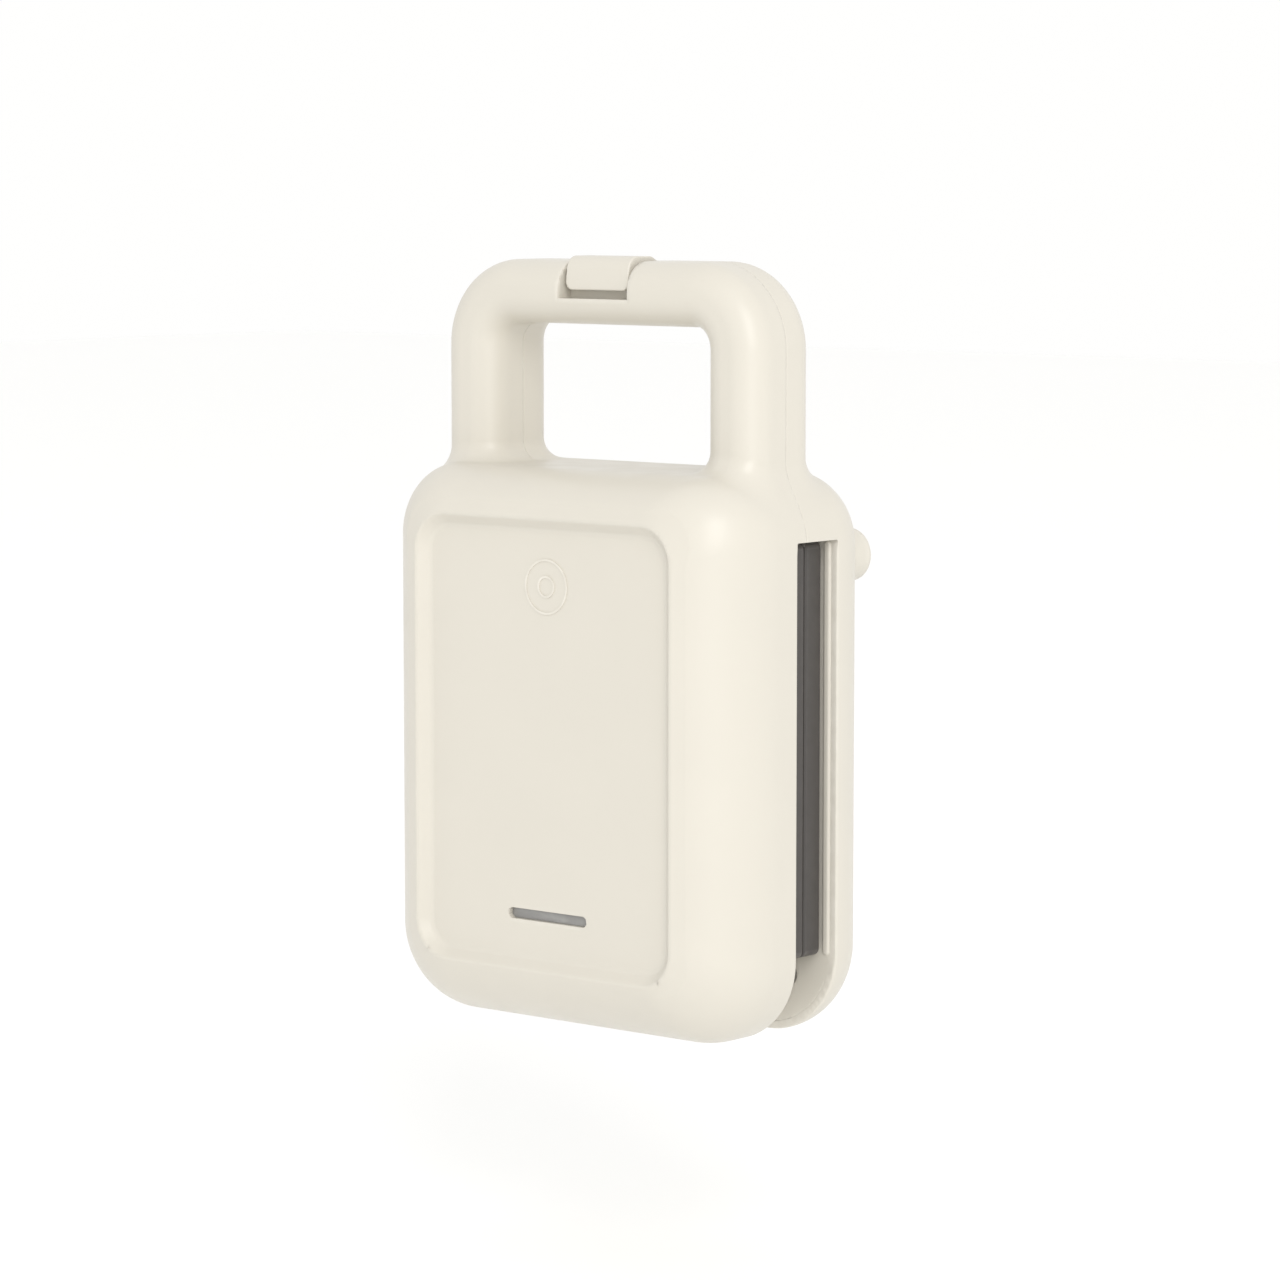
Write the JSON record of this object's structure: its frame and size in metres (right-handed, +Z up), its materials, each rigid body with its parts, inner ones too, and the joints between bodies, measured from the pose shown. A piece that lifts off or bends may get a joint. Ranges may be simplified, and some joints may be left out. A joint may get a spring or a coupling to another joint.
{
  "type": "donut maker",
  "caption": "Upright clamshell donut maker: two cream plastic shells on a bottom hinge, split loop handle with a clip, dark non-stick donut moulds.",
  "frame": {"origin": "middle of the footprint, on the surface that the hinge end stands on", "axes": "+Z up to the handle, -Y out of the front panel of the lid, +X across the width"},
  "size_m": [0.1508, 0.0886, 0.2515],
  "materials": {
    "cream_plastic": "fine satin moulded",
    "cream_frame": "satin heat-resistant moulding",
    "silicone": "matte silicone",
    "nonstick": "satin non-stick coating on cast aluminium",
    "element_steel": "dull sheath",
    "tray_steel": "aluminised sheet",
    "screw_steel": "zinc plated",
    "pin_steel": "ground",
    "phenolic": "matte",
    "fuse_body": "glazed",
    "terminal_nylon": "matte nylon",
    "gland_rubber": "matte",
    "lens": "translucent smoke",
    "board": "solder mask",
    "lamp": "clear tinted"
  },
  "bodies": {
    "base": {"base_shell": "cream_plastic", "base_frame": "cream_frame", "base_frame_screws": "screw_steel", "foot_pads": "silicone", "lower_plate": "nonstick", "lower_heater": "element_steel", "lower_tray": "tray_steel", "lower_plate_screws": "screw_steel", "thermostat": "phenolic", "thermal_fuse": "fuse_body", "terminal_block": "terminal_nylon", "cord_gland": "gland_rubber", "cord_clamp": "phenolic", "hinge_pins": "pin_steel", "latch_pin": "pin_steel"},
    "lid": {"lid_shell": "cream_plastic", "lid_frame": "cream_frame", "lid_frame_screws": "screw_steel", "upper_plate": "nonstick", "upper_heater": "element_steel", "upper_tray": "tray_steel", "upper_plate_screws": "screw_steel", "indicator_lens": "lens", "indicator_board": "board", "indicator_lamps": "lamp", "emblem_ring": "cream_plastic"},
    "latch": {"latch_clip": "cream_plastic"}
  },
  "joints": [
    {"name": "lid_hinge", "type": "hinge", "parent": "base", "child": "lid", "pos_m": [0, 0.00425, 0.008], "axis": [1, 0, 0], "range_deg": [0, 100]},
    {"name": "clip_hinge", "type": "hinge", "parent": "base", "child": "latch", "pos_m": [0, 0.00875, 0.2454], "axis": [-1, 0, 0], "range_deg": [0, 75]}
  ]
}
